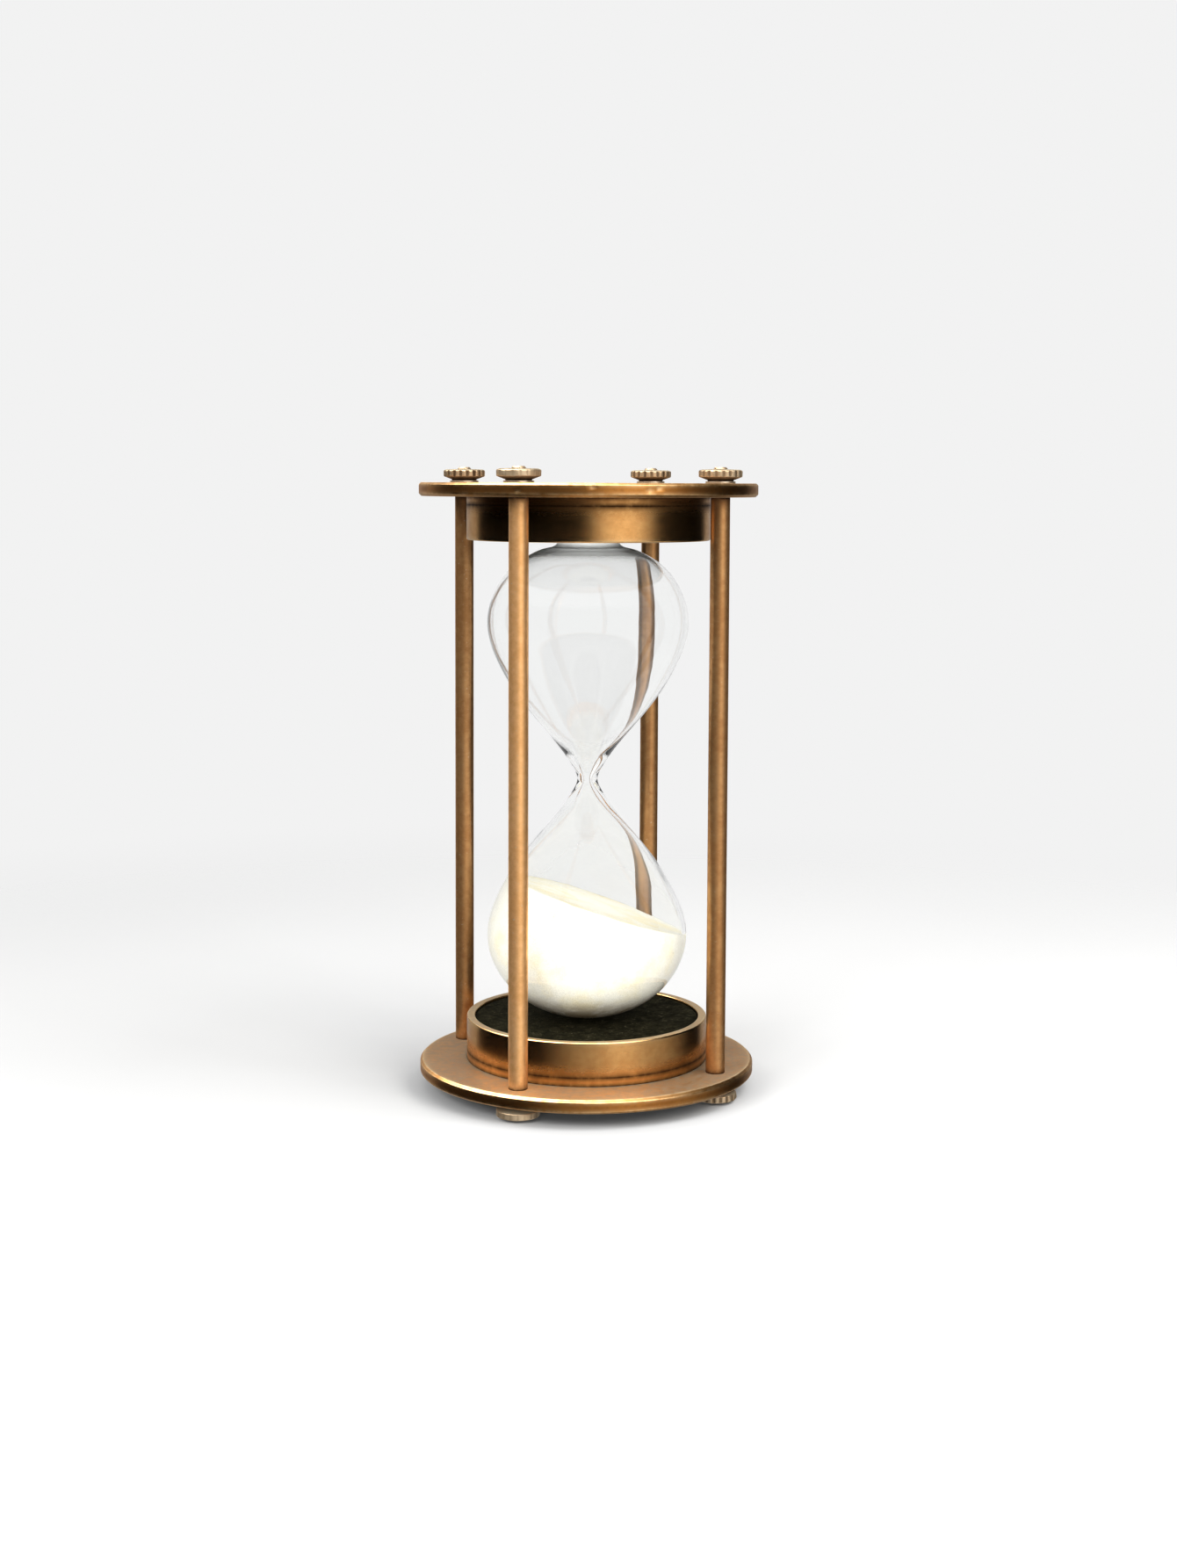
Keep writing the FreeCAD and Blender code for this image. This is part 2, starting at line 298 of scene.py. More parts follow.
def skin(name, rows, closed=False, values=None, smooth=True):
    """A mesh through rows of points round an axis; a row of one point is a pole.

    closed joins the last row to the first. values hold a number for each point, row after row.
    """
    steps = max(len(row) for row in rows)
    rings, first = [], 0
    for row in rows:
        rings.append([first + step % len(row) for step in range(steps)])
        first += len(row)
    faces = []
    for index in range(len(rows) if closed else len(rows) - 1):
        lower, upper = rings[index], rings[(index + 1) % len(rows)]
        for step in range(steps):
            after = (step + 1) % steps
            corners = [lower[step], lower[after], upper[after], upper[step]]
            face = [corner for place, corner in enumerate(corners) if corner != corners[place - 1]]
            if len(face) > 2:
                faces.append(face)
    return new_piece(name, [point for row in rows for point in row], faces, values, smooth)


def lathe(name, outline, steps, shape=None):
    """Turns an outline about Z.

    shape(radius, angle, height, worn, grimy) may vary each point; it returns all of these but the angle.
    """
    rows, wear, grime_and_shade = [], [], []
    for (radius, height), worn, grimy_and_shaded in zip(outline.points, outline.wear, outline.grime_and_shade):
        if radius < ON_AXIS:
            rows.append([(0, 0, height)])
            wear.append(worn)
            grime_and_shade.append(grimy_and_shaded)
            continue
        row = []
        for angle in angles_round(steps):
            here, up, more_wear, more_grime_and_shade = radius, height, worn, grimy_and_shaded
            if shape:
                here, up, more_wear, more_grime_and_shade = shape(radius, angle, height, worn, grimy_and_shaded)
            row.append(polar(here, angle, up))
            wear.append(more_wear)
            grime_and_shade.append(more_grime_and_shade)
        rows.append(row)
    return skin(name, rows, outline.closed, {"wear": wear, "grime_and_shade": grime_and_shade})


def flip_about(piece, height):
    """Turns a piece's mesh upside down about a level line at this height, in millimetres."""
    mesh = piece.data
    points = np.empty(len(mesh.vertices) * 3)
    mesh.vertices.foreach_get("co", points)
    points = points.reshape(-1, 3)
    points[:, 1] *= -1
    points[:, 2] = 2 * height * MM - points[:, 2]
    mesh.vertices.foreach_set("co", points.ravel())
    mesh.update()


def finish_piece(piece, material, slot_name, body, *nodes):
    """Gives a piece its material and its body, and hides the CAD nodes that it stands for. slot_name is not
    used.
    """
    piece.data.materials.append(material)
    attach(piece, body)
    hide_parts(*nodes)
    return piece


# ---------------------------------------------------------------- material tools
class Nodes:
    """The nodes of a material or world being built; inputs are sockets to link or plain values to set."""

    def __init__(self, owner):
        self.owner = owner
        owner.use_nodes = True
        self.tree = owner.node_tree
        self.tree.nodes.clear()

    def add(self, kind, inputs=None, **settings):
        made = self.tree.nodes.new("ShaderNode" + kind)
        for key, value in settings.items():
            setattr(made, key, value)
        for key, value in (inputs or {}).items():
            socket = made.inputs[key]
            if isinstance(value, bpy.types.NodeSocket):
                self.tree.links.new(value, socket)
            else:
                socket.default_value = value
        return made

    def math(self, operation, first, second=0.0, third=0.0, clamp=False):
        made = self.add("Math", {0: first, 1: second, 2: third}, operation=operation, use_clamp=clamp)
        return made.outputs[0]

    def place(self, scale=(1.0, 1.0, 1.0)):
        """The object's own coordinates in millimetres, stretched by scale."""
        where = self.add("TexCoord").outputs["Object"]
        stretched = tuple(factor / MM for factor in scale)
        return self.add("Mapping", {"Vector": where, "Scale": stretched}).outputs[0]

    def noise(self, where, scale, detail=4.0, rough=0.55, seed=0.0, distortion=0.0):
        """A noise pattern with features of about 1 / scale millimetres, different on each piece."""
        luck = self.add("ObjectInfo").outputs["Random"]
        shift = self.math("MULTIPLY_ADD", luck, 37.0, seed)
        inputs = {
            "Vector": where, "W": shift, "Scale": scale, "Detail": detail,
            "Roughness": rough, "Distortion": distortion,
        }
        return self.add("TexNoise", inputs, noise_dimensions="4D").outputs[0]

    def ramp(self, value, low, high, to_low=0.0, to_high=1.0):
        inputs = {"Value": value, "From Min": low, "From Max": high, "To Min": to_low, "To Max": to_high}
        return self.add("MapRange", inputs, interpolation_type="SMOOTHSTEP").outputs[0]

    def mix(self, share, first, second):
        """Colour one, or a share of colour two over it."""
        made = self.add("Mix", data_type="RGBA")
        for index, value in ((0, share), (6, first), (7, second)):
            if isinstance(value, bpy.types.NodeSocket):
                self.tree.links.new(value, made.inputs[index])
            else:
                made.inputs[index].default_value = value
        return made.outputs[2]

    def attribute(self, name):
        return self.add("Attribute", attribute_name=name).outputs["Fac"]

    def bump(self, height, strength, distance, normal=None):
        inputs = {"Height": height, "Strength": strength, "Distance": distance * MM}
        if normal:
            inputs["Normal"] = normal
        return self.add("Bump", inputs).outputs[0]

    def close(self, shader):
        self.add("OutputMaterial", {"Surface": shader})
        return self.owner


def new_material(name):
    return Nodes(bpy.data.materials.new(name))


def rgb(red, green, blue):
    return (red, green, blue, 1.0)


# ---------------------------------------------------------------- brass
PIT_COLOUR = rgb(0.13, 0.06, 0.02)
# Dirt in the hollows together with painted shade: corners, joints and the collar's top are darkened with it.
GRIME_AND_SHADE_COLOUR = rgb(0.055, 0.028, 0.012)
DUST_COLOUR = rgb(0.335, 0.355, 0.30)
MOST_DUST = 0.56


def brass(
    name, bright, dull, worn, grain,
    patina=0.5, roughness=0.34, metallic=1.0, relief=1.0, pitting=0.4, flecks=0.0,
):
    """Antiqued brass: warm metal under uneven brown patina, rubbed bright on the edges, dark in the hollows
    with dirt and painted shade.

    grain is how the object's coordinates are stretched for the marks of the lathe or the drawing die. A film
    of oxide makes the metal a little matt, and dust lies on the faces that look up. flecks are small spots
    that are rubbed as bright as the edges.
    """
    n = new_material(name)
    where = n.place()
    along = n.place(grain)
    blotches = n.noise(where, 0.06, detail=4, rough=0.6, seed=1)
    mottle = n.noise(where, 0.45, detail=6, rough=0.62, seed=2)
    marks = n.noise(along, 1.0, detail=4, rough=0.6, seed=3)
    cloud = n.math("MULTIPLY_ADD", mottle, 0.48, n.math("MULTIPLY", blotches, 0.42))
    cloud = n.math("MULTIPLY_ADD", marks, 0.10, cloud)
    tarnish = n.math("MULTIPLY", n.ramp(cloud, 0.38, 0.62), patina)
    colour = n.mix(tarnish, bright, dull)
    specks = n.noise(where, 1.7, detail=3, rough=0.5, seed=5)
    spots = n.ramp(specks, 0.70, 0.78, 0.0, pitting)
    colour = n.mix(spots, colour, PIT_COLOUR)
    colour = n.mix(n.ramp(specks, 0.25, 0.36, flecks, 0.0), colour, worn)
    rub = n.math("MULTIPLY", n.attribute("wear"), n.ramp(mottle, 0.28, 0.62, 0.35, 1.0))
    colour = n.mix(rub, colour, worn)
    # Painted shade with the dirt: the marked hollows are darkened and made rougher.
    dirt_and_shade = n.math("MULTIPLY", n.attribute("grime_and_shade"), n.ramp(mottle, 0.2, 0.6, 0.6, 1.0))
    colour = n.mix(dirt_and_shade, colour, GRIME_AND_SHADE_COLOUR)
    up = n.add("SeparateXYZ", {0: n.add("NewGeometry").outputs["Normal"]}).outputs[2]
    dust = n.math("MULTIPLY", n.ramp(up, 0.75, 1.0, 0.0, MOST_DUST), n.ramp(mottle, 0.30, 0.68, 0.62, 1.0))
    colour = n.mix(dust, colour, DUST_COLOUR)
    metal = n.math("MULTIPLY", n.math("SUBTRACT", 1.0, dust), metallic)
    rough = n.math("MULTIPLY_ADD", tarnish, 0.10, roughness)
    rough = n.math("MULTIPLY_ADD", n.math("SUBTRACT", marks, 0.5), 0.10, rough)
    rough = n.math("MULTIPLY_ADD", dirt_and_shade, 0.25, rough)
    rough = n.math("MULTIPLY_ADD", dust, 0.3, rough, clamp=True)
    normal = n.bump(marks, 0.35 * relief, 0.012)
    pits = n.math("SUBTRACT", mottle, n.math("MULTIPLY", spots, 0.6))
    normal = n.bump(pits, 0.30 * relief, 0.04, normal)
    shader = n.add(
        "BsdfPrincipled",
        {"Base Color": colour, "Metallic": metal, "Roughness": rough, "Normal": normal},
    )
    return n.close(shader.outputs[0])


TURNED = (0.10, 0.10, 1.6)
DRAWN = (1.6, 1.6, 0.05)
CAST = (0.6, 0.6, 0.6)

PLATE_BRASS = brass(
    "plate_brass", rgb(0.64, 0.295, 0.075), rgb(0.33, 0.110, 0.014), rgb(0.95, 0.64, 0.33), TURNED,
    patina=0.65, roughness=0.31, relief=0.35, pitting=0.25,
)
COLLAR_BRASS = brass(
    "collar_brass", rgb(0.88, 0.53, 0.225), rgb(0.62, 0.27, 0.068), rgb(0.92, 0.64, 0.34), TURNED,
    patina=0.4, roughness=0.22, relief=0.15, pitting=0.0,
)
ROD_LOOK = {  # what the two brasses of the rods share
    "worn": rgb(0.76, 0.64, 0.48), "grain": DRAWN,
    "patina": 0.65, "roughness": 0.40, "relief": 0.8, "flecks": 0.6,
}
ROD_BRASS = brass("rod_brass", rgb(0.65, 0.385, 0.18), rgb(0.43, 0.21, 0.078), metallic=0.92, **ROD_LOOK)
# Painted light: a lighter copy of the rod brass, for the front left rod, which stands in brighter light.
PAINTED_LIGHT_ROD_BRASS = brass(
    "rod_brass_painted_light", rgb(0.98, 0.61, 0.30), rgb(0.72, 0.39, 0.155), metallic=0.88, **ROD_LOOK,
)
NUT_BRASS = brass(
    "nut_brass", rgb(0.44, 0.305, 0.175), rgb(0.23, 0.14, 0.065), rgb(0.68, 0.55, 0.39), CAST,
    patina=0.6, roughness=0.40, metallic=0.82,
)
WASHER_BRASS = brass(
    "washer_brass", rgb(0.86, 0.68, 0.50), rgb(0.55, 0.36, 0.22), rgb(0.97, 0.87, 0.72), TURNED,
    patina=0.5, roughness=0.32, metallic=0.85,
)


# ---------------------------------------------------------------- other materials
def clear_glass():
    """Clear blown glass, matt white where it is ground. Lamps shine through it, so that the sand is lit."""
    n = new_material("clear_glass")
    where = n.place()
    swirl = n.noise(where, 0.06, detail=2, rough=0.4, seed=1)
    normal = n.bump(swirl, 0.25, 0.6)
    shader = n.add(
        "BsdfPrincipled",
        {
            "Base Color": rgb(0.992, 0.996, 0.993), "Roughness": 0.0, "IOR": 1.5,
            "Transmission Weight": 1.0, "Normal": normal,
        },
    )
    frosted = n.add("BsdfDiffuse", {"Color": rgb(0.97, 0.98, 0.96)})
    glass = n.add("MixShader", {0: n.attribute("ground"), 1: shader.outputs[0], 2: frosted.outputs[0]})
    clear = n.add("BsdfTransparent", {"Color": rgb(0.97, 0.98, 0.975)})
    lamp = n.add("LightPath").outputs["Is Shadow Ray"]
    mixed = n.add("MixShader", {0: lamp, 1: glass.outputs[0], 2: clear.outputs[0]})
    return n.close(mixed.outputs[0])


def white_sand():
    """Fine cream-white sand with single darker grains, and painted shade, brown and mottled, towards the
    bottom.
    """
    n = new_material("white_sand")
    where = n.place()
    grains = n.add("TexVoronoi", {"Vector": where, "Scale": 3.2}, feature="F1")
    cloud = n.noise(where, 0.09, detail=4, seed=2)
    tint = n.mix(n.ramp(cloud, 0.42, 0.66), rgb(0.98, 0.955, 0.85), rgb(0.96, 0.89, 0.67))
    shade = n.ramp(grains.outputs["Color"], 0.0, 1.0, 0.93, 1.03)
    dark = n.ramp(grains.outputs["Color"], 0.93, 0.97, 0.0, 0.35)
    scaled = n.add("VectorMath", {0: tint, "Scale": shade}, operation="SCALE").outputs[0]
    colour = n.mix(dark, scaled, rgb(0.45, 0.36, 0.24))
    height = n.add("SeparateXYZ", {0: where}).outputs[2]
    # Painted shade: the sand turns brown and darker towards the bottom, where the felt and collar shade it.
    bottom_shade_mottle = n.noise(where, 0.22, detail=5, rough=0.7, seed=4)
    low = n.ramp(height, SAND_BOTTOM, SAND_BOTTOM + BOTTOM_SHADE_DEPTH, 1.0, 0.0)
    low = n.math("MULTIPLY", low, n.ramp(bottom_shade_mottle, 0.35, 0.6, 0.55, 1.0))
    colour = n.mix(low, colour, rgb(0.30, 0.215, 0.115))
    normal = n.bump(grains.outputs["Distance"], 0.5, 0.12)
    shader = n.add(
        "BsdfPrincipled",
        {"Base Color": colour, "Roughness": 0.9, "Normal": normal, "Specular IOR Level": 0.3},
    )
    return n.close(shader.outputs[0])


def dark_felt():
    """Dark green-black wool felt with paler fibres in it."""
    n = new_material("dark_felt")
    where = n.place()
    matted = n.noise(where, 0.30, detail=6, rough=0.75, seed=1, distortion=1.0)
    fibres = n.noise(where, 1.3, detail=5, rough=0.7, seed=2, distortion=2.0)
    colour = n.mix(n.ramp(matted, 0.38, 0.62), rgb(0.0008, 0.0007, 0.0003), rgb(0.017, 0.0155, 0.008))
    lint = n.math("MULTIPLY", n.ramp(fibres, 0.56, 0.66), n.ramp(matted, 0.44, 0.60, 0.05, 0.8))
    colour = n.mix(lint, colour, rgb(0.24, 0.22, 0.16))
    normal = n.bump(fibres, 0.8, 0.25, n.bump(matted, 0.7, 0.4))
    shader = n.add(
        "BsdfPrincipled",
        {
            "Base Color": colour, "Roughness": 0.95, "Normal": normal, "Specular IOR Level": 0.06,
            "Sheen Weight": 0.04, "Sheen Roughness": 0.6, "Sheen Tint": rgb(0.42, 0.38, 0.19),
        },
    )
    return n.close(shader.outputs[0])


def pressed_cork():
    """Pressed cork: pale brown granules with dark joints."""
    n = new_material("pressed_cork")
    where = n.place()
    granules = n.add("TexVoronoi", {"Vector": where, "Scale": 0.55}, feature="DISTANCE_TO_EDGE")
    tone = n.noise(where, 0.5, detail=5, seed=1)
    colour = n.mix(n.ramp(tone, 0.3, 0.7), rgb(0.30, 0.16, 0.07), rgb(0.52, 0.32, 0.16))
    joint = n.ramp(granules.outputs["Distance"], 0.0, 0.12, 0.8, 0.0)
    colour = n.mix(joint, colour, rgb(0.08, 0.04, 0.02))
    normal = n.bump(granules.outputs["Distance"], 0.6, 0.2)
    shader = n.add("BsdfPrincipled", {"Base Color": colour, "Roughness": 0.85, "Normal": normal})
    return n.close(shader.outputs[0])


def matt_rubber():
    """Matt dark rubber with a little bloom."""
    n = new_material("matt_rubber")
    where = n.place()
    bloom = n.noise(where, 0.8, detail=5, seed=1)
    colour = n.mix(n.ramp(bloom, 0.4, 0.7), rgb(0.020, 0.018, 0.016), rgb(0.055, 0.052, 0.048))
    normal = n.bump(bloom, 0.4, 0.05)
    shader = n.add("BsdfPrincipled", {"Base Color": colour, "Roughness": 0.7, "Normal": normal})
    return n.close(shader.outputs[0])


# ---------------------------------------------------------------- plates and collars
def hole_cutters():
    """One mesh of four upright cylinders, where the studs pass through a plate."""
    steps, low, high = 48, PLATE_INNER - 2, PLATE_OUTER + 2
    vertices, faces = [], []
    for side in (-1, 1):
        for depth in (-1, 1):
            first = len(vertices)
            for angle in angles_round(steps):
                x = side * PILLAR_REACH + HOLE_RADIUS * math.cos(angle)
                y = depth * PILLAR_REACH + HOLE_RADIUS * math.sin(angle)
                vertices += [(x, y, low), (x, y, high)]
            ring = range(steps)
            for step in ring:
                a, b = first + 2 * step, first + 2 * ((step + 1) % steps)
                faces.append([a, b, b + 1, a + 1])
            faces.append([first + 2 * step for step in reversed(ring)])
            faces.append([first + 2 * step + 1 for step in ring])
    return new_piece("cutters", vertices, faces, smooth=False)


def plate(name, dings=()):
    """A plate with rounded rim edges and four holes. dings are (angle, height) of knocks in its rim."""
    rim, low, high = PLATE_RADIUS, PLATE_INNER, PLATE_OUTER
    outline = Outline(
        [
            (0, low, 0, "plain"),
            (COLLAR_RADIUS - COLLAR_WALL, low, 0, "plain"),
            (COLLAR_RADIUS - COLLAR_WALL, low + GROOVE_DEPTH, 0, "grimy_and_shaded"),
            (COLLAR_RADIUS, low + GROOVE_DEPTH, 0, "grimy_and_shaded"),
            (COLLAR_RADIUS, low, 0, "grimy_and_shaded"),
            (rim - 0.75, low, 0.25, "worn"),
            (rim, low + 0.75, 0.3, "worn"),
            (rim, low + 1.6, 0, "plain"),
            (rim, low + 2.0, 0, "plain"),
            (rim, low + 2.5, 0, "plain"),
            (rim, high - 0.6, 0.3, "worn"),
            (rim - 0.6, high, 0.3, "worn"),
            (rim - 8.5, high, 0, "plain"),
            (0, high, 0, "plain"),
        ],
        closed=False,
    )

    def shape(radius, angle, height, worn, grimy_and_shaded):
        for ding_angle, ding_height in dings:
            off = (angle - math.radians(ding_angle) + math.pi) % (2 * math.pi) - math.pi
            near = math.hypot(off * rim, height - low - ding_height) / DING_RADIUS
            if near < 1 and radius > rim - 1:
                radius -= DING_DEPTH * (1 - near**2)
                worn = max(worn, 1 - near**3)
        return radius, height, worn, grimy_and_shaded

    piece = lathe(name, outline, 384, shape)
    cutters = hole_cutters()
    cut = piece.modifiers.new("holes", "BOOLEAN")
    cut.operation = "DIFFERENCE"
    cut.solver = "EXACT"
    cut.object = cutters
    graph = bpy.context.evaluated_depsgraph_get()
    drilled = bpy.data.meshes.new_from_object(piece.evaluated_get(graph))
    piece.modifiers.clear()
    piece.data = drilled
    bpy.data.objects.remove(cutters)
    return piece


def collar(name):
    """A collar ring with softly broken edges."""
    outer, inner = COLLAR_RADIUS, COLLAR_RADIUS - COLLAR_WALL
    return lathe(
        name,
        Outline(
            [
                (inner, COLLAR_HIGH, 0, "grimy_and_shaded"),
                (inner, COLLAR_LOW, 0.45, "worn"),
                (outer, COLLAR_LOW, 0.45, "worn"),
                (outer, COLLAR_LOW + 5.5, 0, "plain"),
                # Painted shade: the collar's upper part, under the plate's overhang, is darkened as if in the
                # plate's shadow.
                (outer, PLATE_INNER - 2.5, 0, "grimy_and_shaded"),
                (outer, PLATE_INNER, 0, "grimy_and_shaded"),
                (outer, COLLAR_HIGH, 0, "plain"),
            ]
        ),
        256,
    )


def felt_pad(name):
    """A felt disc: a lumpy, slightly fuzzy face with a soft dent where the glass presses into it."""
    rings, steps = 84, 220

    def face_height(x, y):
        radius = math.hypot(x, y)
        past_foot = max(0.0, radius - FOOT_RADIUS)
        dent = FELT_DENT * (1 - min(1.0, past_foot / 3.5) ** 1.5)
        lumps = 0.10 * noise.noise((x * 0.35, y * 0.35, 3.0)) + 0.07 * noise.noise((x * 1.3, y * 1.3, 7.0))
        bevel = max(0.0, (radius - (DISC_RADIUS - FELT_BEVEL)) / FELT_BEVEL)
        return FELT_LOW + dent + max(0.02, 0.12 + lumps) * min(1.0, past_foot / 3) + 0.35 * bevel**2

    rows = [[(0, 0, FELT_LOW + FELT_DENT)]]
    for ring in range(1, rings + 1):
        radius = DISC_RADIUS * ring / rings
        row = []
        for step in range(steps):
            x, y, _ = polar(radius, 2 * math.pi * (step + 0.5 * (ring % 2)) / steps, 0)
            row.append((x, y, face_height(x, y)))
        rows.append(row)
    rows.append([(x, y, FELT_HIGH) for x, y, _ in rows[-1]])
    rows.append([(0, 0, FELT_HIGH)])
    return skin(name, rows)


# ---------------------------------------------------------------- pillars, washers and nuts
def pillar(name, x, y):
    """A rod with turned-down studs; its shoulders bear on the plates."""
    tip_bevel = 0.4
    upper = [
        (PILLAR_RADIUS, PLATE_INNER, 0.2, "grimy_and_shaded"),
        (STUD_RADIUS, PLATE_INNER, 0, "plain"),
        (STUD_RADIUS, PILLAR_TIP - tip_bevel, 0.12, "worn"),
        (STUD_RADIUS - tip_bevel, PILLAR_TIP, 0.12, "worn"),
        (0, PILLAR_TIP, 0, "worn"),
    ]
    lower = [(radius, 2 * MIDDLE - height, fillet, kind) for radius, height, fillet, kind in reversed(upper)]
    piece = lathe(name, Outline(lower + upper, closed=False), 64)
    piece.location = (x * MM, y * MM, 0)
    return piece


def washer(name, x, y):
    """The thin washer under a thumb nut."""
    low, high = WASHER_BOX[0].z, WASHER_BOX[1].z
    outer = (WASHER_BOX[1].x - WASHER_BOX[0].x) / 2
    piece = lathe(
        name,
        Outline(
            [
                (HOLE_RADIUS, low, 0, "plain"),
                (outer, low, 0, "plain"),
                (outer, high, 0.15, "worn"),
                (HOLE_RADIUS, high, 0, "plain"),
            ]
        ),
        72,
    )
    piece.location = (x * MM, y * MM, 0)
    return piece


def thumb_nut(name, x, y, luck, crispness):
    """A cast and knurled thumb nut, worn uneven: no two flutes are alike."""
    seat, crown = NUT_BOX[0].z, NUT_BOX[1].z
    rim = (NUT_BOX[1].x - NUT_BOX[0].x) / 2
    outline = Outline(
        [
            (NUT_BORE_RADIUS, seat, 0, "plain"),
            (NUT_WAIST_RADIUS, seat, 0, "grimy_and_shaded"),
            (NUT_WAIST_RADIUS, seat + 0.30, 0.2, "grimy_and_shaded"),
            (5.2, seat + 0.85, 0.5, "plain"),
            (rim - 0.05, seat + 1.25, 0.35, "worn"),
            (rim, seat + 3.0, 0.5, "worn"),
            (rim - 0.9, crown - 0.08, 0.5, "worn"),
            (NUT_BORE_RADIUS + 0.6, crown, 0.3, "plain"),
            (NUT_BORE_RADIUS, crown - 0.25, 0, "grimy_and_shaded"),
        ],
        arc_steps=5,
    )
    pitch = 2 * math.pi / FLUTES
    soft = 0.16  # how far a flute's edge is rounded over
    depths = [crispness * luck.uniform(0.75, 1.1) for _ in range(FLUTES)]
    shifts = [luck.uniform(-0.05, 0.05) for _ in range(FLUTES)]
    offset = luck.uniform(0, pitch)
    lumps = luck.uniform(0, 50)

    def flute(angle):
        """How far from the axis the nearest flute's cut lies at this angle."""
        turn = (angle - offset) / pitch
        number = math.floor(turn + 0.5)
        off = (turn - number - shifts[number % FLUTES]) * pitch
        centre = FLUTE_CENTRE_RADIUS + (1 - depths[number % FLUTES]) * 0.4
        across = centre * math.sin(off)
        if abs(across) >= FLUTE_RADIUS:
            return rim + 1
        return centre * math.cos(off) - math.sqrt(FLUTE_RADIUS**2 - across**2)

    def shape(radius, angle, height, worn, grimy_and_shaded):
        spot = (math.cos(angle) * radius * 0.9, math.sin(angle) * radius * 0.9, height * 0.9 + lumps)
        battered = 0.05 * noise.noise(spot) if radius > NUT_WAIST_RADIUS else 0.0
        cut = min(flute(angle), rim + 0.3)
        share = max(0.0, min(1.0, 0.5 + (cut - radius) / (2 * soft)))
        here = cut + (radius - cut) * share - soft * share * (1 - share)
        depth = max(0.0, min(1.0, (radius - here) / 0.35))
        here = min(rim, here + battered)
        ridge = max(0.0, min(1.0, (here - rim + 0.45) / 0.4))
        # The flutes' ridges are worn bright; their valleys get dirt with painted shade.
        return here, height, max(worn * (1 - depth), ridge * 0.9), max(grimy_and_shaded, depth * 0.85)

    piece = lathe(name, outline, FLUTES * 12, shape)
    piece.location = (x * MM, y * MM, 0)
    return piece


# ---------------------------------------------------------------- glass and sand
def glass_vessel():
    """The blown glass: outer and inner walls as one closed skin, a little uneven as blown glass is."""
    outer = smooth_curve(whole_outline(OUTER_OUTLINE + OUTER_LOWER_END, OUTER_OUTLINE + OUTER_UPPER_END), 240)
    inner = smooth_curve(whole_outline(INNER_OUTLINE, INNER_OUTLINE), 180)[::-1]
    top, bottom = outer[-1][1], outer[0][1]
    upper_end = [(radius, top) for radius in (5.8, 2.9, 0)]
    upper_inside = [(radius, inner[0][1]) for radius in (0, 1.3, 2.6)]
    lower_end = [(PLUG_RADIUS, inner[-1][1]), (PLUG_RADIUS, bottom)]
    points = [*outer.tolist(), *upper_end, *upper_inside, *inner.tolist(), *lower_end]
    waves = [OUTER_WAVE] * len(outer) + [0] * 6 + [INNER_WAVE] * len(inner) + [0] * 2
    steps = 192
    rows, ground = [], []
    inside_starts = len(outer) + len(upper_end)
    for number, ((radius, distance), depth) in enumerate(zip(points, waves)):
        haze = min(1.0, max(0.0, (distance - HAZE_START) / (STUB_START - HAZE_START)))
        matt = 1.0 if distance > STUB_START else SHOULDER_HAZE * haze
        if number >= inside_starts:
            matt = 0.0
        row = [(0, 0, MIDDLE + distance)]
        if radius > ON_AXIS:
            row = []
            side = 9 if depth == INNER_WAVE else 0
            for angle in angles_round(steps):
                x, y, _ = polar(radius, angle, 0)
                swell = noise.noise((x * 0.09, y * 0.09, distance * 0.06 + side))
                wave = depth * min(1.0, radius / 12) * swell
                grow = 1 + wave / radius
                row.append((x * grow, y * grow, MIDDLE + distance))
        rows.append(row)
        ground += [matt] * len(row)
    return skin("glass_vessel_blown", rows, True, {"ground": ground})


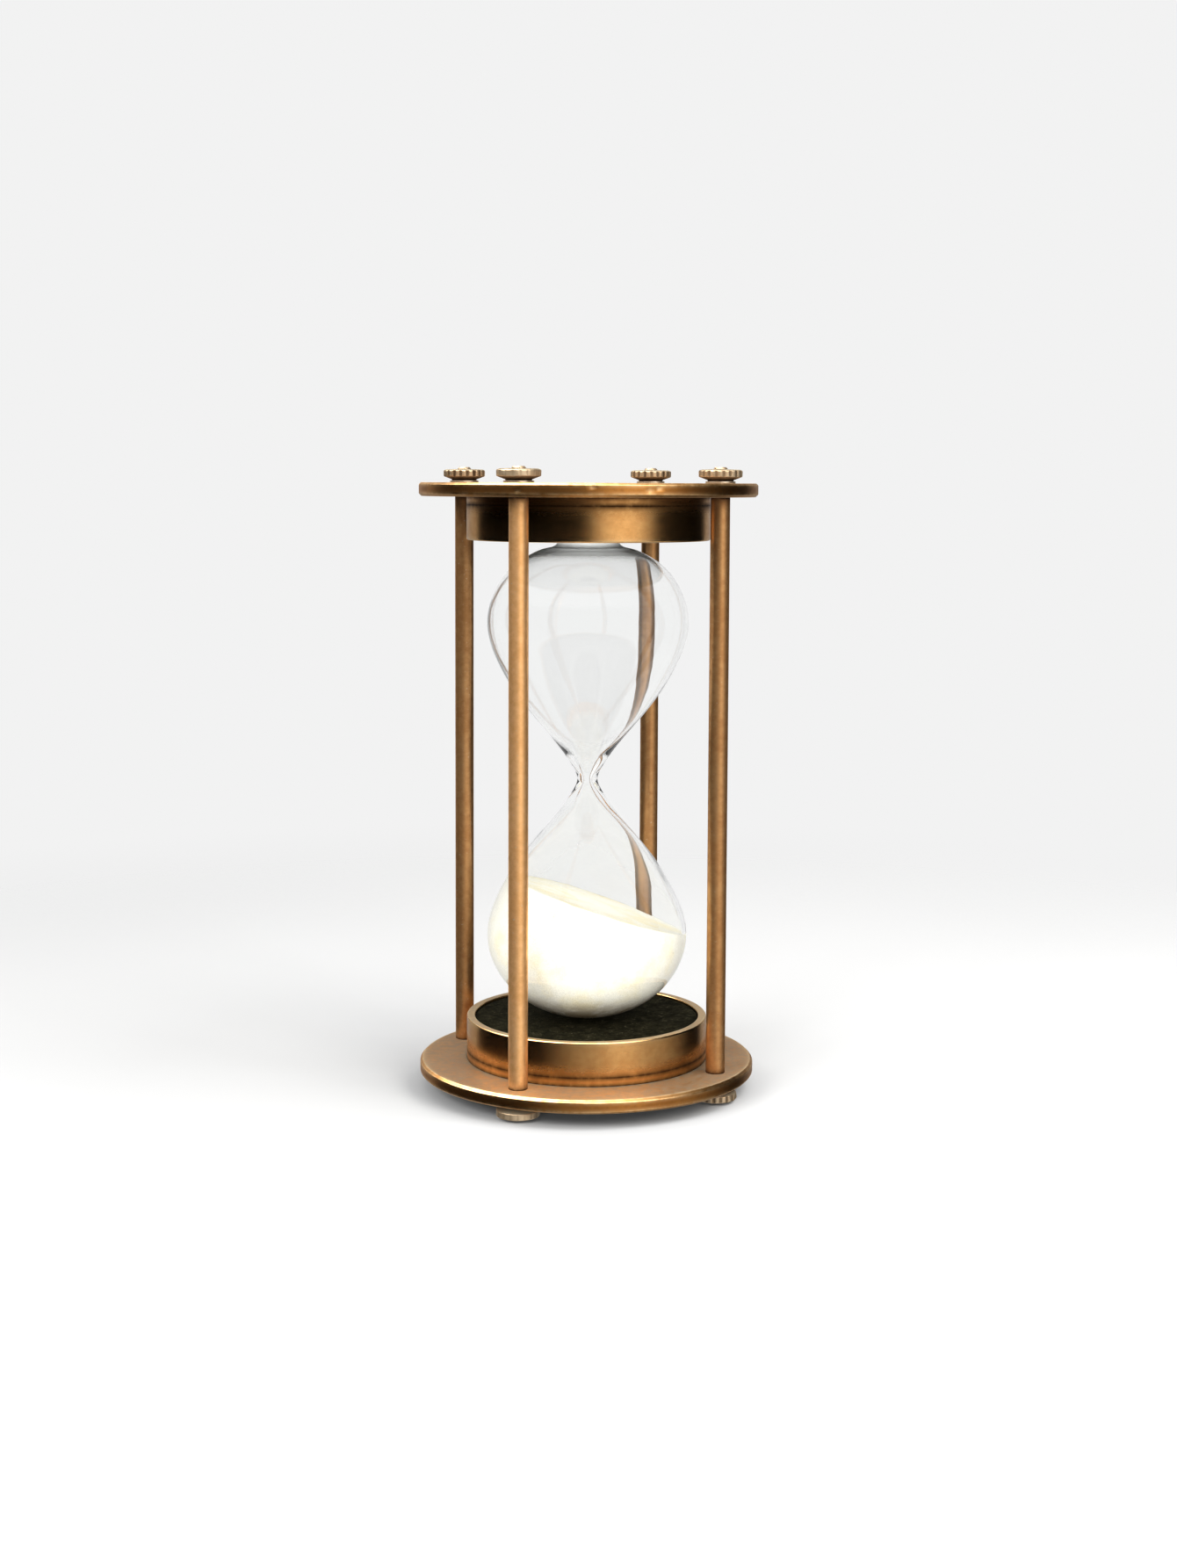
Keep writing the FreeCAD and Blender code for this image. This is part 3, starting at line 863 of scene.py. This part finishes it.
def sand_heap():
    """The settled sand: it fills the lower bulb up to a sloping, slightly rippled top."""
    wall = smooth_curve(whole_outline(INNER_OUTLINE, INNER_OUTLINE)[: len(INNER_OUTLINE)], 140)
    steps, wall_rings, top_rings = 180, 70, 46
    angles = angles_round(steps)
    floor = MIDDLE + wall[0][1] - SAND_CONTACT
    downhill = (math.cos(SAND_SLOPE_TOWARDS), math.sin(SAND_SLOPE_TOWARDS))
    fall = math.tan(SAND_SLOPE)

    def surface(x, y):
        lean = x * downhill[0] + y * downhill[1]
        ripple = 0.16 * noise.noise((x * 0.12, y * 0.12, 0.0)) + 0.07 * noise.noise((x * 0.5, y * 0.5, 4.0))
        return SAND_LEVEL - fall * lean + ripple

    def above(index, angle):
        """How far this point of the wall lies above the sand's surface on this side."""
        x, y, height = polar(wall[index][0] + SAND_CONTACT, angle, MIDDLE + wall[index][1])
        return height - surface(x, y)

    def reach(angle):
        """How far along the wall, in points, the sand comes up on this side."""
        for index in range(1, len(wall)):
            over = above(index, angle)
            if over > 0:
                under = -above(index - 1, angle)
                return index - 1 + under / (under + over)
        return len(wall) - 1

    plug_reach = PLUG_RADIUS + 0.3
    over_plug = PLUG_TOP + PLUG_ROOM
    ends = [reach(angle) for angle in angles]
    rings = [[(plug_reach, over_plug)] * steps, [(plug_reach, floor)] * steps]
    for ring in range(wall_rings + 1):
        row = []
        for end in ends:
            along = end * ring / wall_rings
            index = min(int(along), len(wall) - 2)
            radius, distance = wall[index] + (wall[index + 1] - wall[index]) * (along - index)
            row.append((max(radius + SAND_CONTACT, plug_reach + 0.1), max(MIDDLE + distance, floor)))
        rings.append(row)
    edge = rings[-1]
    for ring in range(1, top_rings):
        row = []
        for (rim, _), angle in zip(edge, angles):
            radius = rim * (1 - ring / top_rings)
            x, y, _ = polar(radius, angle, 0)
            row.append((radius, surface(x, y)))
        rings.append(row)
    rows = [[polar(radius, angle, height) for (radius, height), angle in zip(ring, angles)] for ring in rings]
    return skin("sand_heap", [[(0, 0, over_plug)], *rows, [(0, 0, surface(0, 0))]])


# ---------------------------------------------------------------- the hourglass
FELT = dark_felt()
for end, place_name in (("top", "upper"), ("bottom", "lower")):
    dings = TOP_PLATE_DINGS if end == "top" else ()
    made = [
        (plate(end + "_plate_turned", dings), PLATE_BRASS, "plate_brass", end + "_plate"),
        (collar(place_name + "_collar_turned"), COLLAR_BRASS, "collar_brass", place_name + "_collar"),
        (felt_pad(place_name + "_felt"), FELT, "felt", place_name + "_felt_pad"),
    ]
    for piece, material, slot_name, node in made:
        if end == "bottom":
            flip_about(piece, MIDDLE)
        finish_piece(piece, material, slot_name, ROOT, node)

for number, quarter in enumerate(QUARTERS):
    low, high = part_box("pillar_" + quarter)
    x, y = (low.x + high.x) / 2 / MM, (low.y + high.y) / 2 / MM
    rod = pillar("rod_" + quarter, x, y)
    rod.visible_glossy = False  # or its image stands as a dark stripe on the collars
    # The front left rod takes the lighter copy of the brass: painted light.
    rod_look = PAINTED_LIGHT_ROD_BRASS if quarter == "front_left" else ROD_BRASS
    finish_piece(rod, rod_look, "rod_brass", ROOT, "pillar_" + quarter)
    for end in ("top", "bottom"):
        luck = random.Random(10 * number + len(end))
        disc = washer(f"thin_washer_{end}_{quarter}", x, y)
        nut = thumb_nut(f"knurled_nut_{end}_{quarter}", x, y, luck, CRISPNESS[quarter])
        if end == "bottom":
            flip_about(disc, MIDDLE)
            flip_about(nut, MIDDLE)
        finish_piece(disc, WASHER_BRASS, "washer_brass", ROOT, f"washer_{end}_{quarter}")
        finish_piece(nut, NUT_BRASS, "nut_brass", f"{end}_nut_{quarter}", f"thumb_nut_{end}_{quarter}")

finish_piece(glass_vessel(), clear_glass(), "clear_glass", ROOT, "glass_vessel")
finish_piece(sand_heap(), white_sand(), "white_sand", ROOT, "sand")

# The pieces that are out of sight keep their CAD meshes.
CORK = pressed_cork()
for node_name, material, slot_name in (
    ("upper_cork_disc", CORK, "cork"),
    ("lower_cork_disc", CORK, "cork"),
    ("fill_plug", matt_rubber(), "plug_rubber"),
):
    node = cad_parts[node_name]
    node.data.materials.clear()
    node.data.materials.append(material)


# ---------------------------------------------------------------- studio
FLOOR_RADII = (1.5, 1.2, 0.9, 0.6, 0.3)
FLOOR_FADE = (0.22, 0.52)
FLOOR_GREY = 0.64
SURROUND_LEVEL = 0.905
VIEW_GAMMA = 0.84


def studio_floor():
    """A round pale floor that fades into the background at its edge."""
    rows = [[polar(radius / MM, angle, 0) for angle in angles_round(96)] for radius in FLOOR_RADII]
    floor = skin("studio_floor", [*rows, [(0, 0, 0)]], smooth=False)
    n = new_material("studio_floor")
    far = n.add("VectorMath", {0: n.add("TexCoord").outputs["Object"]}, operation="LENGTH").outputs["Value"]
    paint = n.add("BsdfDiffuse", {"Color": rgb(FLOOR_GREY, FLOOR_GREY, FLOOR_GREY)})
    nothing = n.add("BsdfTransparent", {"Color": rgb(1, 1, 1)})
    mixed = n.add("MixShader", {0: n.ramp(far, *FLOOR_FADE), 1: paint.outputs[0], 2: nothing.outputs[0]})
    floor.data.materials.append(n.close(mixed.outputs[0]))
    floor.visible_glossy = False


def aim(azimuth, elevation):
    """The direction towards a lamp; azimuth is to the camera's right, in degrees."""
    turn = CAMERA_AZIMUTH + math.radians(azimuth)
    rise = math.radians(elevation)
    return Vector((math.sin(turn) * math.cos(rise), -math.cos(turn) * math.cos(rise), math.sin(rise)))


def soft_box(name, azimuth, elevation, distance, width, height, radiance, colour=(1, 1, 1)):
    """A rectangular soft light that faces the hourglass."""
    data = bpy.data.lights.new(name, "AREA")
    data.shape = "RECTANGLE"
    data.size, data.size_y = width, height
    data.energy = radiance * math.pi * width * height
    data.color = colour
    lamp = bpy.data.objects.new(name, data)
    towards = aim(azimuth, elevation)
    lamp.location = towards * distance + Vector((0, 0, MIDDLE * MM))
    lamp.rotation_euler = towards.to_track_quat("Z", "Y").to_euler()
    lamp.visible_camera = False
    lamp.visible_transmission = False
    lamp.visible_glossy = False
    bpy.context.scene.collection.objects.link(lamp)


def studio_world():
    """An even pale surround. What mirrors in the brass is a darker room with soft bright cards in it."""
    world = bpy.data.worlds.new("studio")
    bpy.context.scene.world = world
    n = Nodes(world)
    direction = n.add("TexCoord").outputs["Generated"]
    height = n.add("SeparateXYZ", {0: direction}).outputs[2]
    level = n.add("VectorMath", {0: direction, 1: (1, 1, 0)}, operation="MULTIPLY").outputs[0]
    level = n.add("VectorMath", {0: level}, operation="NORMALIZE").outputs[0]

    def spread(towards, way, inner, outer, strength):
        """Light that is full within inner degrees of a direction and gone beyond outer degrees of it."""
        close = n.add("VectorMath", {0: way, 1: tuple(towards)}, operation="DOT_PRODUCT").outputs["Value"]
        return n.ramp(close, math.cos(math.radians(outer)), math.cos(math.radians(inner)), 0.0, strength)

    def card(azimuth, elevation, inner, outer, strength):
        """A round soft card of light."""
        return spread(aim(azimuth, elevation), direction, inner, outer, strength)

    def screen(azimuth, inner, outer, strength, low, high, at_low=0.0, at_high=1.0):
        """A tall soft screen round this azimuth; it comes up or goes out with the height from low to high."""
        light = spread(aim(azimuth, 0), level, inner, outer, strength)
        return n.math("MULTIPLY", light, n.ramp(height, low, high, at_low, at_high))

    room = n.ramp(height, 0.60, 0.95, 0.002, 0.8)
    for light in (
        screen(-88, 20, 50, 3.2, 0.30, 0.52),
        screen(-173, 44, 49, 0.42, 0.45, 0.65, 1.0, 0.0),
        screen(-36, 76, 104, 3.1, 0.38, 0.60),
        screen(36, 8, 84, 0.68, -0.28, -0.15, 1.0, 0.0),
        card(33, 20, 2, 42, 1.35),
        card(48, 30, 8, 20, 1.4),
    ):
        room = n.math("ADD", room, light)
    mirrored_room = n.add("Background", {"Color": rgb(1.0, 0.98, 0.95), "Strength": room})
    surround = n.add("Background", {"Color": rgb(1, 1, 1), "Strength": SURROUND_LEVEL})
    path = n.add("LightPath").outputs
    mirrored = n.math("SUBTRACT", path["Is Glossy Ray"], path["Is Transmission Ray"], clamp=True)
    mirrored = n.math("SUBTRACT", mirrored, path["Is Singular Ray"], clamp=True)
    mixed = n.add("MixShader", {0: mirrored, 1: surround.outputs[0], 2: mirrored_room.outputs[0]})
    n.add("OutputWorld", {"Surface": mixed.outputs[0]})
    world.cycles.sampling_method = "NONE"


studio_floor()
studio_world()
soft_box("key", 38, 26, 0.9, 0.42, 0.36, 6.5, (1.0, 0.97, 0.92))
soft_box("fill_left", -42, 28, 1.0, 0.5, 0.4, 8.0)
soft_box("fill_low", -6, -3, 0.7, 0.6, 0.10, 24.0)
soft_box("overhead", 70, 50, 0.9, 0.6, 0.6, 4.6)

scene = bpy.context.scene
scene.view_settings.view_transform = "Standard"
scene.view_settings.gamma = VIEW_GAMMA
scene.cycles.caustics_reflective = False
scene.cycles.caustics_refractive = True
scene.cycles.transparent_max_bounces = 16
scene.cycles.use_denoising = True
